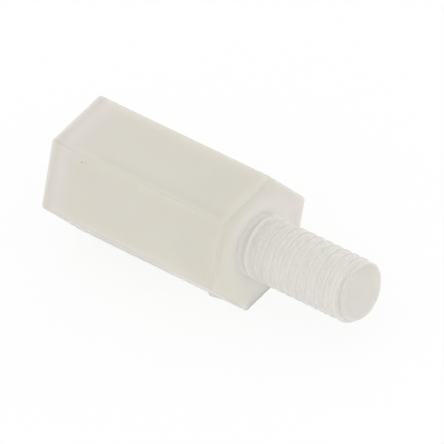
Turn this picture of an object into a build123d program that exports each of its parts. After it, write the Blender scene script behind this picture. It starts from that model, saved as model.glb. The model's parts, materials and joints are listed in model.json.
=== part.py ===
from build123d import *
import math
import os

# A male-female M3 hex standoff, moulded in one piece of natural nylon. Millimetres.
#
# It lies on one of its six flats, with +Z up. The origin is on the axis of the part, in
# the end face that holds the tapped hole, and the stud points along +X.
#
# The stud and the hole are M3 x 0.5. The stud is built as a plain pin over the crests of
# its thread, and the hole as a plain bore between the crests of its own.

# Hexagonal body
ACROSS_FLATS = 5.5
BODY_LENGTH = 10.0
LONG_EDGE_RADIUS = 0.15
END_EDGE_RADIUS = 0.1

# Threaded stud
STUD_DIAMETER = 2.9
STUD_LENGTH = 6.0
STUD_CHAMFER = 0.25

# Tapped blind hole
BORE_DIAMETER = 2.5
BORE_DEPTH = 7.0
BORE_POINT_ANGLE = 118.0
COUNTERSINK_DEPTH = 0.35

NODE_NAME = "hex_standoff"
SIDES = 6


def hex_body():
    """The hexagonal bar, with its six long edges and both its ends eased."""
    with BuildPart() as body:
        with BuildSketch(Plane.YZ):
            RegularPolygon(ACROSS_FLATS / 2, SIDES, major_radius=False)
        extrude(amount=BODY_LENGTH)
        long_edges = body.edges().filter_by(Axis.X)
        fillet(long_edges, LONG_EDGE_RADIUS)
        end_faces = body.faces().filter_by(Axis.X)
        fillet(end_faces.edges(), END_EDGE_RADIUS)
    return body.part


def turned(outline):
    """A solid of revolution about X, from its (x, radius) points in order along the axis."""
    with BuildPart() as solid:
        with BuildSketch(Plane.XZ):
            with BuildLine():
                Polyline(*outline, close=True)
            make_face()
        revolve(axis=Axis.X)
    return solid.part


def stud():
    """The pin that stands on the shoulder, with a chamfer at its tip."""
    radius = STUD_DIAMETER / 2
    tip = BODY_LENGTH + STUD_LENGTH
    return turned(
        [
            (BODY_LENGTH, 0),
            (BODY_LENGTH, radius),
            (tip - STUD_CHAMFER, radius),
            (tip, radius - STUD_CHAMFER),
            (tip, 0),
        ]
    )


def bore():
    """The space of the hole: a 90 degree countersink, a straight bore and a conical end."""
    radius = BORE_DIAMETER / 2
    point_length = radius / math.tan(math.radians(BORE_POINT_ANGLE / 2))
    return turned(
        [
            (0, 0),
            (0, radius + COUNTERSINK_DEPTH),
            (COUNTERSINK_DEPTH, radius),
            (BORE_DEPTH, radius),
            (BORE_DEPTH + point_length, 0),
        ]
    )


def standoff():
    """The whole standoff as one solid."""
    part = hex_body() + stud() - bore()
    part.label = NODE_NAME
    return part


os.makedirs("parts", exist_ok=True)
export_step(standoff(), f"parts/{NODE_NAME}.step")
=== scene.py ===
"""The looks of a male-female M3 hex standoff, moulded in one shot of natural nylon.

The standoff lies on one of its flats. X runs along its axis, from the end face with the
tapped hole to the tip of the threaded stud, and Z is up. Every length is in metres.
"""

import json
import logging
import math
from dataclasses import dataclass, field
from enum import Enum

import bpy
import numpy as np
from mathutils import Matrix, Vector


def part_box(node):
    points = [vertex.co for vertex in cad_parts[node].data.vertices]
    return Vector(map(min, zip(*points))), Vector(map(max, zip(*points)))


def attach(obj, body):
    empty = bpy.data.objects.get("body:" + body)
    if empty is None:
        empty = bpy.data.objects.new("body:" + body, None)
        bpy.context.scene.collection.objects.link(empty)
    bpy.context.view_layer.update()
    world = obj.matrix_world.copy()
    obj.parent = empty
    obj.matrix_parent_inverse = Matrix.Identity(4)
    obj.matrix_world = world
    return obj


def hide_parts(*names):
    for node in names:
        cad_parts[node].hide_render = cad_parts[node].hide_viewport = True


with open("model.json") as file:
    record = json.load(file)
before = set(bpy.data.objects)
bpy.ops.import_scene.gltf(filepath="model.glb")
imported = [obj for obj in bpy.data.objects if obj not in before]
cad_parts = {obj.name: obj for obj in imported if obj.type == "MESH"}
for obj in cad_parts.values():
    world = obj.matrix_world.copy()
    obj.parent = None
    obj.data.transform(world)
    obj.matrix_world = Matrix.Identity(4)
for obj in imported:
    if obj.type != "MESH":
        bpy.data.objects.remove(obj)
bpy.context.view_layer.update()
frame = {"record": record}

MM = 0.001
NODE = "hex_standoff"
TOUCH = 1e-9  # metres: places nearer than this are the same
SIDES = 6
SECTOR = math.pi / 3  # radians, from one corner of the hexagon to the next
RIGHT_ANGLE = 90.0  # degrees
log = logging.getLogger("standoff")

Colour = tuple[float, float, float, float]
Triple = tuple[float, float, float]
WHITE: Colour = (1.0, 1.0, 1.0, 1.0)


# ---------------------------------------------------------------- shader helpers


class Value:
    """A number that varies over a surface. Each operator on it adds one Math node."""

    def __init__(self, graph: "Graph", socket: bpy.types.NodeSocket) -> None:
        """Wraps one output socket of the graph."""
        self.graph = graph
        self.socket = socket

    def _math(self, operation: str, *operands: "Value | float") -> "Value":
        """Adds a Math node.

        Args:
            operation: the node's operation.
            operands: what goes into its sockets, in order.

        Returns:
            The node's result.
        """
        inputs = dict(enumerate(operands))
        node = self.graph.node("ShaderNodeMath", {"operation": operation}, inputs)
        return Value(self.graph, node.outputs[0])

    def __add__(self, other: "Value | float") -> "Value":
        """The sum."""
        return self._math("ADD", self, other)

    def __radd__(self, other: float) -> "Value":
        """The sum, with a number on the left."""
        return self._math("ADD", other, self)

    def __sub__(self, other: "Value | float") -> "Value":
        """The difference."""
        return self._math("SUBTRACT", self, other)

    def __rsub__(self, other: float) -> "Value":
        """The difference, with a number on the left."""
        return self._math("SUBTRACT", other, self)

    def __mul__(self, other: "Value | float") -> "Value":
        """The product."""
        return self._math("MULTIPLY", self, other)

    def __rmul__(self, other: float) -> "Value":
        """The product, with a number on the left."""
        return self._math("MULTIPLY", other, self)

    def maximum(self, other: "Value | float") -> "Value":
        """The larger of the two."""
        return self._math("MAXIMUM", self, other)

    def ease(self, low: float, high: float) -> "Value":
        """Rises smoothly from 0 at low to 1 at high.

        Args:
            low: where the rise starts.
            high: where it ends. Below low, the curve falls instead.

        Returns:
            The eased value, from 0 to 1.
        """
        settings = {"interpolation_type": "SMOOTHSTEP"}
        if low < high:
            inputs = {"Value": self, "From Min": low, "From Max": high}
        else:
            inputs = {"Value": self, "From Min": high, "From Max": low, "To Min": 1.0, "To Max": 0.0}
        node = self.graph.node("ShaderNodeMapRange", settings, inputs)
        return Value(self.graph, node.outputs[0])


class Graph:
    """The node tree of a material or a world, empty but for its output."""

    def __init__(self, owner: bpy.types.Material | bpy.types.World, output: str) -> None:
        """Clears the owner's tree and adds its output.

        Args:
            owner: what the tree belongs to.
            output: the output node's type.
        """
        owner.use_nodes = True
        self.tree = owner.node_tree
        self.tree.nodes.clear()
        self.output = self.tree.nodes.new(output)

    def node(self, kind: str, settings: dict | None = None, inputs: dict | None = None) -> bpy.types.Node:
        """Adds one node.

        Args:
            kind: the node's type.
            settings: its properties, which are set first.
            inputs: what goes into its sockets, by name or number: a number, a colour, a vector,
                a Value or an output socket.

        Returns:
            The node.
        """
        node = self.tree.nodes.new(kind)
        for name, setting in (settings or {}).items():
            setattr(node, name, setting)
        for name, given in (inputs or {}).items():
            source = given.socket if isinstance(given, Value) else given
            if isinstance(source, bpy.types.NodeSocket):
                self.tree.links.new(source, node.inputs[name])
            else:
                node.inputs[name].default_value = source
        return node

    def value(self, socket: bpy.types.NodeSocket) -> Value:
        """A number from an output socket."""
        return Value(self, socket)

    def attribute(self, name: str) -> Value:
        """A number that the mesh holds at each of its points."""
        node = self.node("ShaderNodeAttribute", {"attribute_name": name})
        return Value(self, node.outputs["Fac"])

    def noise(self, at: bpy.types.NodeSocket, size: float, detail: float = 2.0) -> Value:
        """Cloudy noise, from 0 to 1, with clouds of that size and that many finer layers."""
        inputs = {"Vector": at, "Scale": 1.0 / size, "Detail": detail}
        return Value(self, self.node("ShaderNodeTexNoise", {}, inputs).outputs[0])

    def stretched(self, at: bpy.types.NodeSocket, shares: Triple) -> bpy.types.NodeSocket:
        """Coordinates multiplied along each axis: a share under 1 draws a pattern out along it."""
        return self.node("ShaderNodeMapping", {}, {"Vector": at, "Scale": shares}).outputs[0]

    def distance(self, at: bpy.types.NodeSocket, point: Triple) -> Value:
        """How far each place is from a point.

        Args:
            at: the coordinates of the places.
            point: the point.

        Returns:
            The distance.
        """
        inputs = {0: at, 1: point}
        node = self.node("ShaderNodeVectorMath", {"operation": "DISTANCE"}, inputs)
        return Value(self, node.outputs["Value"])

    def blend(
        self, share: Value, first: Colour | bpy.types.NodeSocket, second: Colour
    ) -> bpy.types.NodeSocket:
        """The colour that goes from the first to the second as the share goes from 0 to 1."""
        # The node has sockets of one name for each type of data, so numbers pick the colours.
        node = self.node("ShaderNodeMix", {"data_type": "RGBA"}, {0: share, 6: first, 7: second})
        return node.outputs[2]


# ---------------------------------------------------------------- finishes

NOISE_MEAN = 0.5


class Tone(Enum):
    """The mesh's attributes, which shift the skin's colour: not at all at 0, fully from 1. They paint
    light and shade; the gate blush is partly real.
    """

    # Painted shade: darker and yellower where the body is thick.
    PAINTED_THICK_SHADE = "solid"
    # Paler by the gate, partly a real blush and partly painted light, and painted light low down.
    GATE_BLUSH_AND_UNDERLIGHT = "blush"
    # Painted glow, paler and more neutral where light would come through.
    PAINTED_GLOW = "clear"
    # Painted tone of the thin stud, darker and more neutral for light through it.
    PAINTED_THIN_TONE = "slender"
    # Painted shade along the edges, on the crests, round the tip, on top of the stud and shoulder, with a
    # faint dark band.
    PAINTED_EDGE_SHADE = "edge"
    # Painted light in the thread's grooves and the shoulder's nook, where shade falls.
    PAINTED_FILL_LIGHT = "shelter"


@dataclass(frozen=True)
class Tint:
    """A colour that the skin takes on as a tone rises to 1, by that share."""

    tone: Tone
    colour: Colour
    share: float = 1.0


@dataclass(frozen=True)
class Speck:
    """A tiny dark fleck in the skin."""

    place: Triple
    radius: float
    strength: float


@dataclass(frozen=True)
class NaturalNylon:
    """Undyed PA 6.6 with a satin skin: milky, painted a little yellower where it is thick, with painted
    light and shade in its colour.
    """

    body: Colour = (0.676, 0.652, 0.582, 1.0)
    cloud: Colour = (0.696, 0.674, 0.604, 1.0)
    cloud_size: float = 2.6 * MM
    cloud_stretch: Triple = (0.45, 1.0, 1.0)
    cloud_detail: float = 3.0
    cloud_band: tuple[float, float] = (0.35, 0.7)
    cloud_share: float = 0.45
    tints: tuple[Tint, ...] = (
        # Painted shade where the body is thick.
        Tint(Tone.PAINTED_THICK_SHADE, (0.646, 0.628, 0.560, 1.0), 0.4),
        # Paler by the gate, partly real blush and partly painted light, and painted light low down.
        Tint(Tone.GATE_BLUSH_AND_UNDERLIGHT, (0.810, 0.798, 0.722, 1.0), 0.9),
        # Painted glow where light would come through.
        Tint(Tone.PAINTED_GLOW, (0.698, 0.664, 0.645, 1.0)),
        # Painted tone of the thin stud.
        Tint(Tone.PAINTED_THIN_TONE, (0.619, 0.600, 0.575, 1.0)),
        # Painted shade at the edges, crests, tip and top of the stud.
        Tint(Tone.PAINTED_EDGE_SHADE, (0.468, 0.458, 0.412, 1.0)),
        # Painted light in the grooves and the nook.
        Tint(Tone.PAINTED_FILL_LIGHT, (0.820, 0.805, 0.775, 1.0)),
    )
    specks: tuple[Speck, ...] = ()
    fleck: Colour = (0.200, 0.165, 0.105, 1.0)
    fleck_core: float = 0.35
    roughness: float = 0.42
    roughness_swing: float = 0.16
    patch_size: float = 0.7 * MM
    patch_detail: float = 3.0
    grain_size: float = 0.055 * MM
    grain_height: float = 0.004 * MM
    drawn_size: float = 0.22 * MM
    drawn_height: float = 0.006 * MM
    drawn_stretch: Triple = (0.08, 1.0, 1.0)
    scatter_length: float = 1.5 * MM
    scatter_shares: Triple = (1.0, 0.96, 0.82)
    ior: float = 1.53

    def colour(self, graph: Graph, at: bpy.types.NodeSocket) -> bpy.types.NodeSocket:
        """The colour of the skin, with painted glow where light would show through it.

        Args:
            graph: the material's nodes.
            at: object coordinates.

        Returns:
            The colour: clouds of flow in the body, shifted by each tint in turn (painted light and shade,
                and a partly real gate blush), and darker in the specks.
        """
        flow = graph.noise(graph.stretched(at, self.cloud_stretch), self.cloud_size, self.cloud_detail)
        colour = graph.blend(flow.ease(*self.cloud_band) * self.cloud_share, self.body, self.cloud)
        # Each tint paints light or shade over the clouds; the gate blush is partly real.
        for tint in self.tints:
            colour = graph.blend(graph.attribute(tint.tone.value) * tint.share, colour, tint.colour)
        for speck in self.specks:
            near = graph.distance(at, speck.place).ease(speck.radius, self.fleck_core * speck.radius)
            colour = graph.blend(near * speck.strength, colour, self.fleck)
        return colour

    def relief(self, graph: Graph, at: bpy.types.NodeSocket) -> bpy.types.NodeSocket:
        """The fine relief of the skin: the mould's grain, and faint marks drawn along it.

        Args:
            graph: the material's nodes.
            at: object coordinates.

        Returns:
            The normal.
        """
        grain = graph.noise(at, self.grain_size)
        drawn = graph.noise(graph.stretched(at, self.drawn_stretch), self.drawn_size)
        height = grain * self.grain_height + drawn * self.drawn_height
        inputs = {"Strength": 1.0, "Distance": 1.0, "Height": height}
        return graph.node("ShaderNodeBump", {}, inputs).outputs[0]

    def material(self) -> bpy.types.Material:
        """Makes the finish.

        Returns:
            The material: a satin skin whose roughness varies in patches about its mean, over a
            body in which light scatters.
        """
        material = bpy.data.materials.new("natural_nylon_skin")
        graph = Graph(material, "ShaderNodeOutputMaterial")
        at = graph.node("ShaderNodeTexCoord").outputs["Object"]
        patches = graph.noise(at, self.patch_size, self.patch_detail)
        inputs = {
            "Base Color": self.colour(graph, at),
            "Roughness": self.roughness + (patches - NOISE_MEAN) * self.roughness_swing,
            "Normal": self.relief(graph, at),
            "IOR": self.ior,
            "Subsurface Weight": 1.0,
            "Subsurface Radius": self.scatter_shares,
            "Subsurface Scale": self.scatter_length,
        }
        settings = {"subsurface_method": "RANDOM_WALK"}
        skin = graph.node("ShaderNodeBsdfPrincipled", settings, inputs)
        graph.tree.links.new(skin.outputs[0], graph.output.inputs["Surface"])
        return material


@dataclass(frozen=True)
class WhitePaper:
    """The matt white sheet that the part lies on."""

    colour: Colour = (0.97, 0.97, 0.97, 1.0)
    glow_share: float = 0.84

    def material(self) -> bpy.types.Material:
        """Makes the finish.

        Returns:
            The material: a diffuse white, lifted to clean white where it is seen, so that the
            part's shadow stays on it but is faint.
        """
        material = bpy.data.materials.new("white_paper")
        graph = Graph(material, "ShaderNodeOutputMaterial")
        paper = graph.node("ShaderNodeBsdfDiffuse", {}, {"Color": self.colour})
        glow = graph.node("ShaderNodeEmission", {}, {"Color": WHITE, "Strength": 1.0})
        share = seen_directly(graph) * self.glow_share
        inputs = {0: share, 1: paper.outputs[0], 2: glow.outputs[0]}
        mixed = graph.node("ShaderNodeMixShader", {}, inputs)
        graph.tree.links.new(mixed.outputs[0], graph.output.inputs["Surface"])
        return material


def seen_directly(graph: Graph) -> Value:
    """Tells the rays that see a surface from those that only light one.

    Args:
        graph: the nodes of the surface or the world.

    Returns:
        1 for rays from the camera, off gloss or through glass, and 0 for the rest.
    """
    rays = graph.node("ShaderNodeLightPath").outputs
    camera = graph.value(rays["Is Camera Ray"])
    glossy = graph.value(rays["Is Glossy Ray"])
    through = graph.value(rays["Is Transmission Ray"])
    return camera.maximum(glossy).maximum(through)


# ---------------------------------------------------------------- the standoff


class Side(Enum):
    """Which side of a thread's crests its grooves lie on, as a sign on the radius."""

    STUD = -1
    HOLE = 1


@dataclass(frozen=True)
class Thread:
    """The M3 x 0.5 thread, right-hand, with one start."""

    pitch: float = 0.5 * MM
    depth: float = 0.27 * MM
    crest_share: float = 0.14
    root_share: float = 0.2
    start_turn: float = 0.58
    rounding: float = 0.5

    def groove(self, x: np.ndarray, angle: np.ndarray) -> np.ndarray:
        """How far the wall lies below the thread's crests.

        A place's phase is its x in pitches less its angle in turns, so a crest climbs one
        pitch a turn. Away from the root's centre the groove stays full for half the root's
        width, then falls as a straight flank to 0 at the crest. A part of a smooth step is
        mixed in, which rounds both corners.

        Args:
            x: places along the axis, as a column.
            angle: angles about the axis, as a row.

        Returns:
            The depth at each x and angle.
        """
        phase = np.mod(x / self.pitch - angle / (2 * np.pi) - self.start_turn, 1.0)
        from_root = np.abs(2 * phase - 1)
        flank = 1 - self.crest_share - self.root_share
        fill = np.clip((1 - self.crest_share - from_root) / flank, 0, 1)
        return self.depth * ((1 - self.rounding) * fill + self.rounding * ease(fill))

    def stations(self, start: float, end: float, per_pitch: int) -> np.ndarray:
        """Even places along the axis, so many to a pitch."""
        count = math.ceil(abs(end - start) / self.pitch * per_pitch)
        return np.linspace(start, end, count + 1)


def clustered(count: int) -> np.ndarray:
    """Shares from 0 to 1 that bunch at both ends, as half a turn of a cosine does."""
    return (1 - np.cos(np.linspace(0, np.pi, count + 1))) / 2


def ease(share: np.ndarray) -> np.ndarray:
    """A smooth step: 0 up to 0, 1 from 1, and 3 s^2 - 2 s^3 between."""
    s = np.clip(share, 0, 1)
    return s * s * (3 - 2 * s)


def rise(place: np.ndarray, start: float, reach: float) -> np.ndarray:
    """Eases from 0 at the start to 1 one reach past it."""
    return ease((place - start) / reach)


def fall(distance: np.ndarray, reach: float) -> np.ndarray:
    """Eases from 1 at no distance to 0 at the reach."""
    return ease(1 - distance / reach)


def halved(distance: np.ndarray, reach: float) -> np.ndarray:
    """1 at no distance, and half as much after each further reach."""
    return np.exp2(-distance / reach)


def facing(degrees: float) -> np.ndarray:
    """The unit vector, in Y and Z, at that angle from +Y towards +Z."""
    turn = math.radians(degrees)
    return np.array([math.cos(turn), math.sin(turn)])


def half_flat(across_flats: float) -> float:
    """Half the width of one flat of a hexagon with sharp corners."""
    return across_flats / 2 * math.tan(SECTOR / 2)


@dataclass(frozen=True)
class GateStub:
    """The sliver left on the flat that faces -Y and down, where the gate was cut off."""

    start: float = 8.05 * MM
    length: float = 0.9 * MM
    from_edge: float = 0.34 * MM
    half_width: float = 0.32 * MM
    height: float = 0.14 * MM
    cut: float = 0.07 * MM
    faces_degrees: float = 210.0
    rows: int = 28

    @property
    def outward(self) -> np.ndarray:
        """The direction, in Y and Z, that the stub's flat faces."""
        return facing(self.faces_degrees)

    @property
    def upward(self) -> np.ndarray:
        """The direction, in Y and Z, that leads up the stub's flat from its lower edge."""
        return facing(self.faces_degrees - RIGHT_ANGLE)

    def stations(self) -> np.ndarray:
        """Extra places along the axis, which the stub needs for its shape."""
        return np.linspace(self.start - self.cut, self.start + self.length + self.cut, self.rows)

    def place(self, across_flats: float) -> np.ndarray:
        """The middle of the stub's cut end, on the flat of a hexagon of that width."""
        aside = half_flat(across_flats) - self.from_edge
        return np.array([self.start, *(across_flats / 2 * self.outward - aside * self.upward)])

    def raised(self, rows: np.ndarray, across_flats: float) -> np.ndarray:
        """Lifts the stub out of its flat.

        Along X it rises steeply at the cut and runs out slowly, and across the flat it is a
        smooth hump beside the lower edge.

        Args:
            rows: rows of hexagons.
            across_flats: the hexagons' width.

        Returns:
            The rows with the stub on them.
        """
        normal = np.array([0.0, *self.outward])
        on_flat = rows @ normal > across_flats / 2 - TOUCH
        from_edge = half_flat(across_flats) + rows @ np.array([0.0, *self.upward])
        hump = fall(np.abs(from_edge - self.from_edge), self.half_width)
        past = rows[..., 0] - self.start
        runout = ease(past / self.cut) * np.clip(1 - past / self.length, 0, 1)
        return rows + (self.height * hump * runout * on_flat)[..., None] * normal


@dataclass
class Standoff:
    """One moulding: hexagonal body, shoulder, threaded stud and tapped blind hole.

    Its skin is one closed surface on a grid. Rows run from the bottom of the hole out of its
    mouth, over the end face, along the flats, over the shoulder and up the stud to its tip,
    and columns run once round the axis.
    """

    across_flats: float
    body_length: float
    overall_length: float
    stud_radius: float
    stud_chamfer: float
    bore_radius: float
    bore_depth: float
    countersink_depth: float
    long_edge_radius: float = 0.15 * MM
    end_edge_radius: float = 0.1 * MM
    point_angle: float = math.radians(118)
    plain_bore_length: float = 0.6 * MM
    stud_runout: float = 0.35 * MM
    sharp_angle: float = math.radians(38)
    arc_steps: int = 4
    flat_steps: int = 16
    point_rows: int = 8
    hole_rows_per_pitch: int = 16
    end_face_rows: int = 14
    end_edge_rows: int = 6
    body_rows: int = 64
    stud_rows_per_pitch: int = 32
    tip_rows: int = 16
    thread: Thread = field(default_factory=Thread)
    stub: GateStub = field(default_factory=GateStub)

    @classmethod
    def from_frame(cls, record: dict) -> "Standoff":
        """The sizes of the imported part.

        Args:
            record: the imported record, whose mounts give the stud, the hole and the shoulder.

        Returns:
            A standoff of those sizes.
        """
        low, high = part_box(NODE)
        mounts = {m["name"]: m for m in record["mounts"]}
        stud, hole = mounts["stud"], mounts["tapped_hole"]
        shoulder = stud["pos_m"][0]
        mouth = hole["pos_m"][0]
        return cls(
            across_flats=high.z - low.z,
            body_length=shoulder,
            overall_length=high.x,
            stud_radius=stud["dims"]["r_mm"] * MM,
            stud_chamfer=high.x - shoulder - stud["dims"]["length_mm"] * MM,
            bore_radius=hole["dims"]["r_mm"] * MM,
            bore_depth=mouth + hole["dims"]["length_mm"] * MM,
            countersink_depth=mouth,
        )

    @property
    def columns(self) -> int:
        """How many columns go round the axis."""
        return SIDES * (self.arc_steps + self.flat_steps)

    @property
    def angles(self) -> np.ndarray:
        """The even angles of the columns on round rows, from +Y towards +Z."""
        return 2 * np.pi * (np.arange(self.columns) - self.arc_steps / 2) / self.columns

    @property
    def point_length(self) -> float:
        """How far the hole's conical end reaches past its wall."""
        return self.bore_radius / math.tan(self.point_angle / 2)

    def outline(self, inset: np.ndarray) -> np.ndarray:
        """Rounded hexagons, with a corner on +Y.

        Each corner is an arc about a point on the line from the axis to the corner, and each
        flat joins two arcs. A point is its centre plus the arc's radius, less the inset,
        along its normal, and on a flat the centre slides from one arc's to the next one's.

        Args:
            inset: how far each hexagon lies inside the body's.

        Returns:
            Y and Z of each row and column.
        """
        reach = (self.across_flats / 2 - self.long_edge_radius) / math.cos(SECTOR / 2)
        corner = np.arange(SIDES)[:, None] * SECTOR
        arc = np.linspace(-SECTOR / 2, SECTOR / 2, self.arc_steps + 1)
        slide = clustered(self.flat_steps)[1:-1]
        turn = corner + np.concatenate([arc, np.full(slide.size, SECTOR / 2)])
        here = np.stack([np.cos(corner), np.sin(corner)], -1) * reach
        following = np.roll(here, -1, axis=0)
        share = np.concatenate([np.zeros(arc.size), slide])[None, :, None]
        centre = (here + (following - here) * share).reshape(-1, 2)
        normal = np.stack([np.cos(turn), np.sin(turn)], -1).reshape(-1, 2)
        return centre + (self.long_edge_radius - np.asarray(inset))[:, None, None] * normal

    def hexagons(self, x: np.ndarray, inset: np.ndarray) -> np.ndarray:
        """Rows of rounded hexagons.

        Args:
            x: the place of each along the axis.
            inset: how far each lies inside the body's outline.

        Returns:
            The rows.
        """
        shape = self.outline(inset)
        along = np.broadcast_to(np.asarray(x)[:, None, None], (*shape.shape[:2], 1))
        return np.concatenate([along, shape], -1)

    def rounds(self, x: np.ndarray, radius: np.ndarray) -> np.ndarray:
        """Rows about the axis.

        Args:
            x: the place of each along the axis.
            radius: the radius of each row, as a column, or of each row and column.

        Returns:
            The rows.
        """
        x = np.asarray(x)[:, None]
        radius = np.broadcast_to(radius, (x.size, self.columns))
        along = np.broadcast_to(x, radius.shape)
        return np.stack([along, radius * np.cos(self.angles), radius * np.sin(self.angles)], -1)

    @staticmethod
    def ring(inner: np.ndarray, outer: np.ndarray, shares: np.ndarray) -> np.ndarray:
        """Rows that go in straight lines from one row to another, which makes a flat ring."""
        return inner + (outer - inner) * shares[:, None, None]

    def hole(self) -> np.ndarray:
        """The inside of the hole.

        The end is a cone. The wall is the bore's radius plus the thread's groove, which fades
        out before the end, or the countersink's cone where that is wider.

        Returns:
            Rows from the bottom of the hole to its mouth.
        """
        cone = np.linspace(0, 1, self.point_rows)[1:-1]
        along = self.bore_depth + self.point_length * (1 - cone)
        tip = self.rounds(along, self.bore_radius * cone[:, None])
        x = self.thread.stations(self.bore_depth, 0, self.hole_rows_per_pitch)[:, None]
        fade = ease((self.bore_depth - self.plain_bore_length - x) / self.thread.pitch)
        wall = self.bore_radius + Side.HOLE.value * fade * self.thread.groove(x, self.angles)
        countersink = self.bore_radius + self.countersink_depth - x
        return np.concatenate([tip, self.rounds(x[:, 0], np.maximum(wall, countersink))])

    def end_edge(self) -> tuple[np.ndarray, np.ndarray]:
        """How far each row of the quarter round at an end lies from its face and inside the flats."""
        turn = np.linspace(0, np.pi / 2, self.end_edge_rows)
        return self.end_edge_radius * (1 - np.cos(turn)), self.end_edge_radius * (1 - np.sin(turn))

    def body(self, mouth: np.ndarray, root: np.ndarray) -> np.ndarray:
        """Rows over the end face, the flats and the shoulder.

        Args:
            mouth: the last row of the hole.
            root: the first row of the stud.

        Returns:
            The rows between them.
        """
        along, inset = self.end_edge()
        near = self.hexagons(along, inset)
        far = self.hexagons(self.body_length - along[::-1], inset[::-1])
        span = self.body_length - 2 * self.end_edge_radius
        x = self.end_edge_radius + span * clustered(self.body_rows)[1:-1]
        x = np.unique(np.concatenate([x, self.stub.stations()]))
        flats = self.stub.raised(self.hexagons(x, np.zeros(x.size)), self.across_flats)
        shares = clustered(self.end_face_rows)[1:-1]
        end_face = self.ring(mouth, near[0], shares)
        shoulder = self.ring(far[-1], root, shares)
        return np.concatenate([end_face, near, flats, far, shoulder])

    def stud(self) -> np.ndarray:
        """The outside of the stud.

        The wall is the stud's radius less the thread's groove, which fades in from the
        shoulder, or the chamfer's cone where that is narrower.

        Returns:
            Rows from the root of the stud to its tip, and in over its end.
        """
        start, end = self.body_length, self.overall_length
        x = self.thread.stations(start, end, self.stud_rows_per_pitch)[:, None]
        fade = rise(x, self.body_length, self.stud_runout)
        wall = self.stud_radius + Side.STUD.value * fade * self.thread.groove(x, self.angles)
        chamfer = self.stud_radius - self.stud_chamfer + self.overall_length - x
        rows = self.rounds(x[:, 0], np.minimum(wall, chamfer))
        centre = np.array([self.overall_length, 0.0, 0.0])
        face = self.ring(rows[-1:], centre, clustered(self.tip_rows)[1:-1])
        return np.concatenate([rows, face])

    def grid(self) -> np.ndarray:
        """The whole skin.

        Returns:
            Every row, from the bottom of the hole to the middle of the stud's tip.
        """
        hole = self.hole()
        stud = self.stud()
        return np.concatenate([hole, self.body(hole[-1:], stud[:1]), stud])

    def mesh(self) -> bpy.types.Mesh:
        """The skin as one mesh.

        Returns:
            A closed mesh, which holds every tone, painted light and shade among them, as an attribute.
        """
        rows = self.grid()
        hole_end = self.bore_depth + self.point_length
        poles = np.array([[hole_end, 0.0, 0.0], [self.overall_length, 0.0, 0.0]])
        points = np.concatenate([rows.reshape(-1, 3), poles])
        mesh = bpy.data.meshes.new(NODE + "_skin")
        set_faces(mesh, points, rows.shape[0], self.columns)
        # The tones are painted light and shade, with a gate blush that is partly real.
        for tone, amounts in PaintedShadingAndBlush(self).amounts(points).items():
            layer = mesh.attributes.new(tone.value, "FLOAT", "POINT")
            layer.data.foreach_set("value", amounts.astype(np.float32))
        return mesh

    def specks(self) -> tuple[Speck, ...]:
        """The flecks and faint marks on the flat that faces -Y and up.

        Returns:
            Each of them, placed by x and by how far it lies down that flat from its top edge.
        """
        down = facing(240)
        top_edge = facing(120) * self.across_flats / math.sqrt(3)
        found = []
        for x, below, radius, strength in (
            (1.85 * MM, 0.34 * MM, 0.045 * MM, 0.8),
            (2.05 * MM, 0.30 * MM, 0.035 * MM, 0.5),
            (2.10 * MM, 1.40 * MM, 0.060 * MM, 0.12),
            (6.50 * MM, 0.08 * MM, 0.110 * MM, 0.06),
            (8.50 * MM, 0.25 * MM, 0.090 * MM, 0.08),
        ):
            y, z = top_edge + down * below
            found.append(Speck((x, float(y), float(z)), radius, strength))
        return tuple(found)

    def build(self) -> bpy.types.Object:
        """Makes the piece, gives it its finish and puts it on the frame.

        Returns:
            The piece.
        """
        piece = bpy.data.objects.new(NODE + "_moulding", self.mesh())
        bpy.context.scene.collection.objects.link(piece)
        finish = NaturalNylon(specks=self.specks())
        piece.data.materials.append(finish.material())
        piece.data.set_sharp_from_angle(angle=self.sharp_angle)
        weighted = piece.modifiers.new("flat_normals", "WEIGHTED_NORMAL")
        weighted.keep_sharp = True
        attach(piece, "root")
        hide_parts(NODE)
        return piece


@dataclass(frozen=True)
class ToFlat:
    """Where points lie to the flat that each is nearest.

    Depth is how far under the flat they are, and sideways is how far they are from the nearer
    of its two long edges.
    """

    on_top: np.ndarray
    depth: np.ndarray
    sideways: np.ndarray


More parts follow.
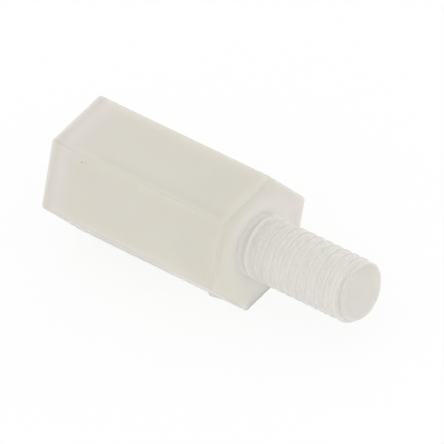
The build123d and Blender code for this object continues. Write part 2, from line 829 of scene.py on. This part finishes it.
@dataclass(frozen=True)
class PaintedShadingAndBlush:
    """Where the nylon is painted darker or paler, worked out from the standoff's shape: painted light and
    shade, and a gate blush that is partly real.

    A share is the most that one effect adds to its tone, and a reach is the distance over
    which it fades out or halves.
    """

    shape: Standoff
    # Shares and reaches of the painted light and shade, and of the gate blush.
    edge_reach: float = 0.19 * MM
    long_edge_share: float = 0.35
    shoulder_edge_share: float = 0.7
    rounding_share: float = 0.3
    mouth_share: float = 0.6
    mouth_reach: float = 0.8 * MM
    band_share: float = 0.12
    band_inset: float = 0.3 * MM
    band_width: float = 0.18 * MM
    band_start: float = 2.0 * MM
    band_reach: float = 1.5 * MM
    contact_reach: float = 0.9 * MM
    brow_share: float = 0.2
    brow_reach: float = 1.8 * MM
    crest_share: float = 0.55
    crest_depth_share: float = 0.4
    tip_share: float = 0.7
    crown_share: float = 0.45
    crown_degrees: float = 50.0
    crown_start: float = 0.5
    # Shares and reaches of the painted light in the nook.
    nook_share: float = 0.9
    nook_reach: float = 1.2 * MM
    nook_loss: float = 0.25
    nook_loss_start: float = -0.6 * MM
    nook_loss_reach: float = 1.8 * MM
    groove_tip_reach: float = 0.65 * MM
    # Where the stud's painted tone eases in.
    thin_tone_lead: float = 0.05 * MM
    thin_tone_reach: float = 0.6 * MM
    # Reaches of the painted glow.
    rim_reach: float = 2.2 * MM
    glow_reach: float = 0.5 * MM
    far_start: float = -0.2 * MM
    far_reach: float = 3.0 * MM
    # Where the painted shade of the thick body eases in.
    thick_shade_lead: float = 0.3 * MM
    thick_shade_reach: float = 1.5 * MM
    # Reach of the pale patch by the gate, and of the painted light low down.
    gate_blush_and_light_reach: float = 3.6 * MM
    underlight_top: float = 1.3 * MM
    underlight_reach: float = 4.0 * MM

    def amounts(self, points: np.ndarray) -> dict[Tone, np.ndarray]:
        """Every tone.

        Args:
            points: places on the skin.

        Returns:
            The amount of each tone at each point.
        """
        return {
            Tone.PAINTED_EDGE_SHADE: self.edge(points),
            Tone.PAINTED_THIN_TONE: self.slender(points),
            Tone.PAINTED_GLOW: self.clear(points),
            Tone.PAINTED_THICK_SHADE: self.solid(points),
            Tone.GATE_BLUSH_AND_UNDERLIGHT: self.blush(points),
            Tone.PAINTED_FILL_LIGHT: self.shelter(points),
        }

    def to_flat(self, points: np.ndarray) -> ToFlat:
        """Finds each point's nearest flat.

        How far out a point lies towards a flat is its Y and Z along the flat's normal, and the
        nearest flat is the one where that is largest. Depth is half the width across flats less
        that, and sideways is half a flat's width less the distance from the flat's middle line.

        Args:
            points: places on the skin.

        Returns:
            Where the points lie to it.
        """
        y, z = points[..., 1, None], points[..., 2, None]
        normals = np.arange(SIDES) * SECTOR + SECTOR / 2
        outward = y * np.cos(normals) + z * np.sin(normals)
        across = np.abs(z * np.cos(normals) - y * np.sin(normals))
        nearest = np.argmax(outward, -1)[..., None]
        width = self.shape.across_flats
        depth = width / 2 - np.take_along_axis(outward, nearest, -1)[..., 0]
        sideways = half_flat(width) - np.take_along_axis(across, nearest, -1)[..., 0]
        top = np.abs(normals - np.pi / 2).argmin()
        return ToFlat((nearest[..., 0] == top) & (depth < TOUCH), depth, sideways)

    def long_edge_shade(self, flat: ToFlat) -> np.ndarray:
        """Painted shade along the six long edges, which are blunt: a soft line, and a thin one on the
        rounding.

        The soft one halves over each reach from where the two flats would meet. The thin one
        grows with the depth, to its full share in the middle of the rounding.

        Args:
            flat: where the points lie to their flats.

        Returns:
            How much each point shows them.
        """
        rounding = self.shape.long_edge_radius * (1 - math.cos(SECTOR / 2))
        thin = np.where(flat.depth < rounding + TOUCH, flat.depth / rounding, 0)
        soft = halved(np.hypot(flat.depth, flat.sideways), self.edge_reach)
        return self.long_edge_share * soft + self.rounding_share * thin

    def end_edge_shade(self, x: np.ndarray, flat: ToFlat) -> np.ndarray:
        """Painted shade at the edges round both ends: a wide one behind the mouth, narrow ones elsewhere.

        The distance from the edge is the depth joined to the distance from the nearer end. The
        wide one eases out over its reach, and the narrow ones halve over each of theirs.

        Args:
            x: where the points lie along the axis.
            flat: where they lie to their flats.

        Returns:
            How much each point shows them, with the thin line on their rounding.
        """
        radius = self.shape.end_edge_radius
        rounding = radius * (1 - math.cos(math.pi / 4))
        from_end = np.minimum(x, self.shape.body_length - x)
        thin = np.clip(np.minimum(flat.depth, from_end) / rounding * (from_end < radius), 0, 1)
        distance = np.hypot(flat.depth, from_end)
        wide = self.mouth_share * fall(distance, self.mouth_reach)
        narrow = self.shoulder_edge_share * halved(distance, self.edge_reach)
        behind_mouth = (x > TOUCH) & (x < self.shape.body_length / 2)
        return np.where(behind_mouth, wide, narrow) + self.rounding_share * thin

    def band(self, points: np.ndarray, flat: ToFlat) -> np.ndarray:
        """A faint dark band on the top flat, along its edge towards -Y.

        Args:
            points: places on the skin.
            flat: where they lie to their flats.

        Returns:
            How much each point shows it: 2^-(w^2), w widths from the band's middle.
        """
        x, y = points[..., 0], points[..., 1]
        widths = (flat.sideways - self.band_inset) / self.band_width
        shown = np.where(flat.on_top & (y < 0), self.band_share * np.exp2(-(widths**2)), 0)
        return shown * rise(x, self.band_start, self.band_reach)

    def body_painted_shade(self, points: np.ndarray) -> np.ndarray:
        """The painted edge shade of the body, which fades towards the flat that the part lies on.

        The edges and the band are added up, to at most 1, and eased in with the height above
        that flat.

        Args:
            points: places on the skin.

        Returns:
            The tone, with a little more painted shade on the upper part of the shoulder.
        """
        x, z = points[..., 0], points[..., 2]
        flat = self.to_flat(points)
        lines = self.long_edge_shade(flat) + self.end_edge_shade(x, flat) + self.band(points, flat)
        above = rise(z, -self.shape.across_flats / 2, self.contact_reach)
        on_shoulder = x > self.shape.body_length - TOUCH
        # Painted shade on the upper part of the shoulder.
        brow = self.brow_share * rise(z, 0, self.brow_reach) * on_shoulder
        return np.minimum(lines, 1) * above + brow

    def stud_painted_shade(self, points: np.ndarray) -> np.ndarray:
        """The painted shade of the stud: on the crests, round the tip and along the crown.

        The crests' eases out with the depth under them, and the tip's halves over each reach
        from the nearer circle of the chamfer. The crown's eases in with how far the point lies
        in the crown's direction, as a share of the stud's radius.

        Args:
            points: places on the skin.

        Returns:
            The tone. Over the whole of the chamfer it has the tip's full share.
        """
        shape = self.shape
        x, y, z = np.moveaxis(points, -1, 0)
        inside = shape.stud_radius - np.hypot(y, z)
        # Painted shade on the thread's crests.
        crest = self.crest_share * fall(inside / shape.thread.depth, self.crest_depth_share)
        from_tip = shape.overall_length - x
        to_foot = np.hypot(from_tip - shape.stud_chamfer, inside)
        to_rim = np.hypot(from_tip, inside - shape.stud_chamfer)
        on_chamfer = (from_tip < shape.stud_chamfer) & (from_tip > TOUCH)
        distance = np.where(on_chamfer, 0, np.minimum(to_foot, to_rim))
        tip = self.tip_share * halved(distance, self.edge_reach)
        # Painted shade along the crown, the top of the stud, which the light from above brightens.
        crown_y, crown_z = facing(self.crown_degrees)
        upward = (y * crown_y + z * crown_z) / shape.stud_radius
        crown = self.crown_share * rise(upward, self.crown_start, 1 - self.crown_start)
        return np.maximum(crest, tip) + crown

    def edge(self, points: np.ndarray) -> np.ndarray:
        """The painted shade at each point, near the outer edges and on top of the stud: the body's up to
        the shoulder, then the stud's.
        """
        on_body = points[..., 0] <= self.shape.body_length + TOUCH
        return np.where(on_body, self.body_painted_shade(points), self.stud_painted_shade(points))

    def grooves(self, points: np.ndarray) -> np.ndarray:
        """How deep each point lies in a thread, as a share of the thread's depth.

        Args:
            points: places on the skin.

        Returns:
            The share, which fades out towards the stud's tip. It may be under 0 or over 1.
        """
        shape = self.shape
        x = points[..., 0]
        radius = np.hypot(points[..., 1], points[..., 2])
        from_tip = shape.overall_length - x
        in_stud = (x > shape.body_length) & (from_tip > TOUCH)
        narrowing = np.maximum(shape.stud_chamfer - from_tip, 0)
        under_stud = (shape.stud_radius - narrowing - radius) * ease(from_tip / self.groove_tip_reach)
        in_bore = (x > 0) & (x < shape.bore_depth) & (radius < shape.bore_radius + shape.thread.depth)
        under_bore = radius - shape.bore_radius
        return np.where(in_stud, under_stud, np.where(in_bore, under_bore, 0)) / shape.thread.depth

    def nook(self, points: np.ndarray) -> np.ndarray:
        """How near each point lies to the circle where the shoulder and the stud meet.

        Args:
            points: places on the skin.

        Returns:
            Its share of the painted fill light, which is less towards the top.
        """
        beyond = points[..., 0] - self.shape.body_length
        outside = np.hypot(points[..., 1], points[..., 2]) - self.shape.stud_radius
        to_circle = np.hypot(np.maximum(beyond, 0), np.maximum(outside, 0))
        kept = 1 - self.nook_loss * rise(points[..., 2], self.nook_loss_start, self.nook_loss_reach)
        near = self.nook_share * kept * fall(to_circle, self.nook_reach)
        return np.where(beyond > -TOUCH, near, 0)

    def shelter(self, points: np.ndarray) -> np.ndarray:
        """Painted light that fills the shade in a thread's groove or in the shoulder's nook."""
        return np.clip(np.maximum(self.grooves(points), self.nook(points)), 0, 1)

    def slender(self, points: np.ndarray) -> np.ndarray:
        """The stud's painted tone, darker and more neutral for light through thin nylon: 1 in the stud,
        easing to 0 at the shoulder.
        """
        return rise(points[..., 0], self.shape.body_length - self.thin_tone_lead, self.thin_tone_reach)

    def clear(self, points: np.ndarray) -> np.ndarray:
        """How much painted glow stands for light that comes through from behind.

        Args:
            points: places on the skin.

        Returns:
            1 at the end with the hole, easing to 0 along the body, and on the shoulder and the
            stud more towards +Y.
        """
        x, y = points[..., 0], points[..., 1]
        # Painted glow at the end with the hole, and on the +Y side of the shoulder and stud.
        rim = fall(x, self.rim_reach)
        shoulder = rise(x, self.shape.body_length - self.glow_reach, self.glow_reach)
        return np.maximum(rim, shoulder * rise(y, self.far_start, self.far_reach))

    def solid(self, points: np.ndarray) -> np.ndarray:
        """Painted shade where the body is thick, past the hole.

        Args:
            points: places on the skin.

        Returns:
            1 between the hole and the shoulder, easing to 0 round the hole and at the shoulder.
        """
        x = points[..., 0]
        # Painted shade from past the hole's end up to the shoulder.
        past_hole = rise(x, self.shape.bore_depth - self.thick_shade_lead, self.thick_shade_reach)
        return past_hole * ease((self.shape.body_length - x) / self.shape.end_edge_radius)

    def blush(self, points: np.ndarray) -> np.ndarray:
        """Paler by the gate stub, partly a real blush and partly painted light from below.

        Args:
            points: places on the skin.

        Returns:
            1 at the gate stub, easing to 0 at its reach, and on the shoulder and the stud more towards
            the bottom, where it is painted light from below.
        """
        shape = self.shape
        x, z = points[..., 0], points[..., 2]
        gate = shape.stub.place(shape.across_flats)
        by_gate = fall(np.linalg.norm(points - gate, axis=-1), self.gate_blush_and_light_reach)
        # Painted light from below on the lower shoulder and stud.
        past_edge = rise(x, shape.body_length - shape.end_edge_radius, shape.end_edge_radius)
        low = np.clip((self.underlight_top - z) / self.underlight_reach, 0, 1)
        return np.maximum(by_gate, low * past_edge)


def set_faces(mesh: bpy.types.Mesh, points: np.ndarray, rows: int, columns: int) -> None:
    """Fills a mesh with a closed grid: quads between rows, and a fan of triangles at each end.

    Args:
        mesh: an empty mesh.
        points: the grid's points, row by row, then the pole before the first row and the
            pole after the last.
        rows: how many rows there are.
        columns: how many points a row has.
    """
    index = np.arange(rows * columns).reshape(rows, columns)
    after = np.roll(index, -1, axis=1)
    quads = np.stack([index[:-1], index[1:], after[1:], after[:-1]], -1).reshape(-1, 4)
    first, last = rows * columns, rows * columns + 1
    start = np.stack([np.full(columns, first), index[0], after[0]], -1)
    end = np.stack([np.full(columns, last), after[-1], index[-1]], -1)
    corners = np.concatenate([quads.ravel(), start.ravel(), end.ravel()])
    sizes = np.concatenate([np.full(len(quads), 4), np.full(2 * columns, 3)])
    starts = np.concatenate([[0], np.cumsum(sizes)[:-1]])
    mesh.vertices.add(len(points))
    mesh.vertices.foreach_set("co", points.astype(np.float32).ravel())
    mesh.loops.add(len(corners))
    mesh.loops.foreach_set("vertex_index", corners.astype(np.int32))
    mesh.polygons.add(len(sizes))
    mesh.polygons.foreach_set("loop_start", starts.astype(np.int32))
    mesh.update(calc_edges=True)
    mesh.validate()
    mesh.shade_smooth()


# ---------------------------------------------------------------- the studio


@dataclass(frozen=True)
class Softbox:
    """A soft rectangular lamp that points at the part."""

    name: str
    direction: Triple
    distance: float
    width: float
    height: float
    level: float

    def build(self, target: Vector) -> bpy.types.Object:
        """Hangs the lamp.

        Its power is the level times pi squared times the distance squared: a white face
        turned to it then shows that level.

        Args:
            target: where it points.

        Returns:
            The lamp.
        """
        lamp = bpy.data.lights.new(self.name, "AREA")
        lamp.shape = "RECTANGLE"
        lamp.size = self.width
        lamp.size_y = self.height
        lamp.energy = self.level * (math.pi * self.distance) ** 2
        lit = bpy.data.objects.new(self.name, lamp)
        towards = Vector(self.direction).normalized()
        lit.location = target + towards * self.distance
        lit.rotation_euler = towards.to_track_quat("Z", "Y").to_euler()
        bpy.context.scene.collection.objects.link(lit)
        return lit


AIM = Vector((7.7987, 0.1140, 0.1328)) * MM  # what the camera and the lamps point at


@dataclass
class Studio:
    """A white sheet, a pale surround, soft lamps and the camera."""

    centre: Vector
    floor_height: float
    floor_width: float = 1.2
    surround_level: float = 0.97
    bearing: float = math.radians(-37.989)
    rise: float = math.radians(43.582)
    roll: float = math.radians(-15.605)
    distance: float = 500 * MM
    lens: float = 940.25
    lamps: tuple[Softbox, ...] = (
        Softbox(
            name="stud_end_softbox",
            direction=(1.0, 0.0, 0.13),
            distance=0.5,
            width=0.4,
            height=0.11,
            level=0.11,
        ),
        Softbox(
            name="front_softbox",
            direction=(0.25, -1.0, 0.13),
            distance=0.5,
            width=0.4,
            height=0.11,
            level=0.08,
        ),
        Softbox(
            name="far_softbox",
            direction=(0.8, 1.0, 0.35),
            distance=0.5,
            width=0.35,
            height=0.3,
            level=0.13,
        ),
    )

    def floor(self) -> bpy.types.Object:
        """Lays the sheet.

        Returns:
            The sheet, which isn't part of the object.
        """
        half = self.floor_width / 2
        z = self.floor_height
        mesh = bpy.data.meshes.new("paper_sheet")
        corners = [(-half, -half, z), (half, -half, z), (half, half, z), (-half, half, z)]
        mesh.from_pydata(corners, [], [(0, 1, 2, 3)])
        mesh.materials.append(WhitePaper().material())
        sheet = bpy.data.objects.new("paper_sheet", mesh)
        bpy.context.scene.collection.objects.link(sheet)
        return sheet

    def surround(self) -> bpy.types.World:
        """Lights the part from all round.

        Returns:
            The world: an even pale light, which is clean white where it is seen.
        """
        world = bpy.data.worlds.new("studio")
        graph = Graph(world, "ShaderNodeOutputWorld")
        strength = self.surround_level + seen_directly(graph) * (1 - self.surround_level)
        light = graph.node("ShaderNodeBackground", {}, {"Color": WHITE, "Strength": strength})
        graph.tree.links.new(light.outputs[0], graph.output.inputs["Surface"])
        bpy.context.scene.world = world
        return world

    def camera(self) -> bpy.types.Object:
        """Sets up the camera.

        Returns:
            The camera, which looks at the centre and is turned about its own line of sight by
            the roll.
        """
        back = Vector(
            (
                math.cos(self.rise) * math.cos(self.bearing),
                math.cos(self.rise) * math.sin(self.bearing),
                math.sin(self.rise),
            )
        )
        level_right = Vector((0, 0, 1)).cross(back).normalized()
        level_up = back.cross(level_right)
        right = level_right * math.cos(self.roll) + level_up * math.sin(self.roll)
        turned = Matrix((right, back.cross(right), back)).transposed()
        data = bpy.data.cameras.new("camera")
        data.lens = self.lens
        camera = bpy.data.objects.new("camera", data)
        camera.matrix_world = Matrix.Translation(self.centre + back * self.distance) @ turned.to_4x4()
        bpy.context.scene.collection.objects.link(camera)
        bpy.context.scene.camera = camera
        return camera

    def build(self) -> None:
        """Sets up the whole studio."""
        self.floor()
        self.surround()
        self.camera()
        for lamp in self.lamps:
            lamp.build(self.centre)
        bpy.context.scene.view_settings.view_transform = "Standard"


def main() -> None:
    """Builds the standoff and the studio round it, and reports each piece."""
    logging.basicConfig(level=logging.INFO, format="%(name)s: %(message)s")
    standoff = Standoff.from_frame(frame["record"])
    piece = standoff.build()
    log.info("%s: %d faces", piece.name, len(piece.data.polygons))
    studio = Studio(centre=AIM, floor_height=-standoff.across_flats / 2)
    studio.build()
    log.info("studio: %d lamps", len(studio.lamps))


if __name__ == "__main__":
    main()
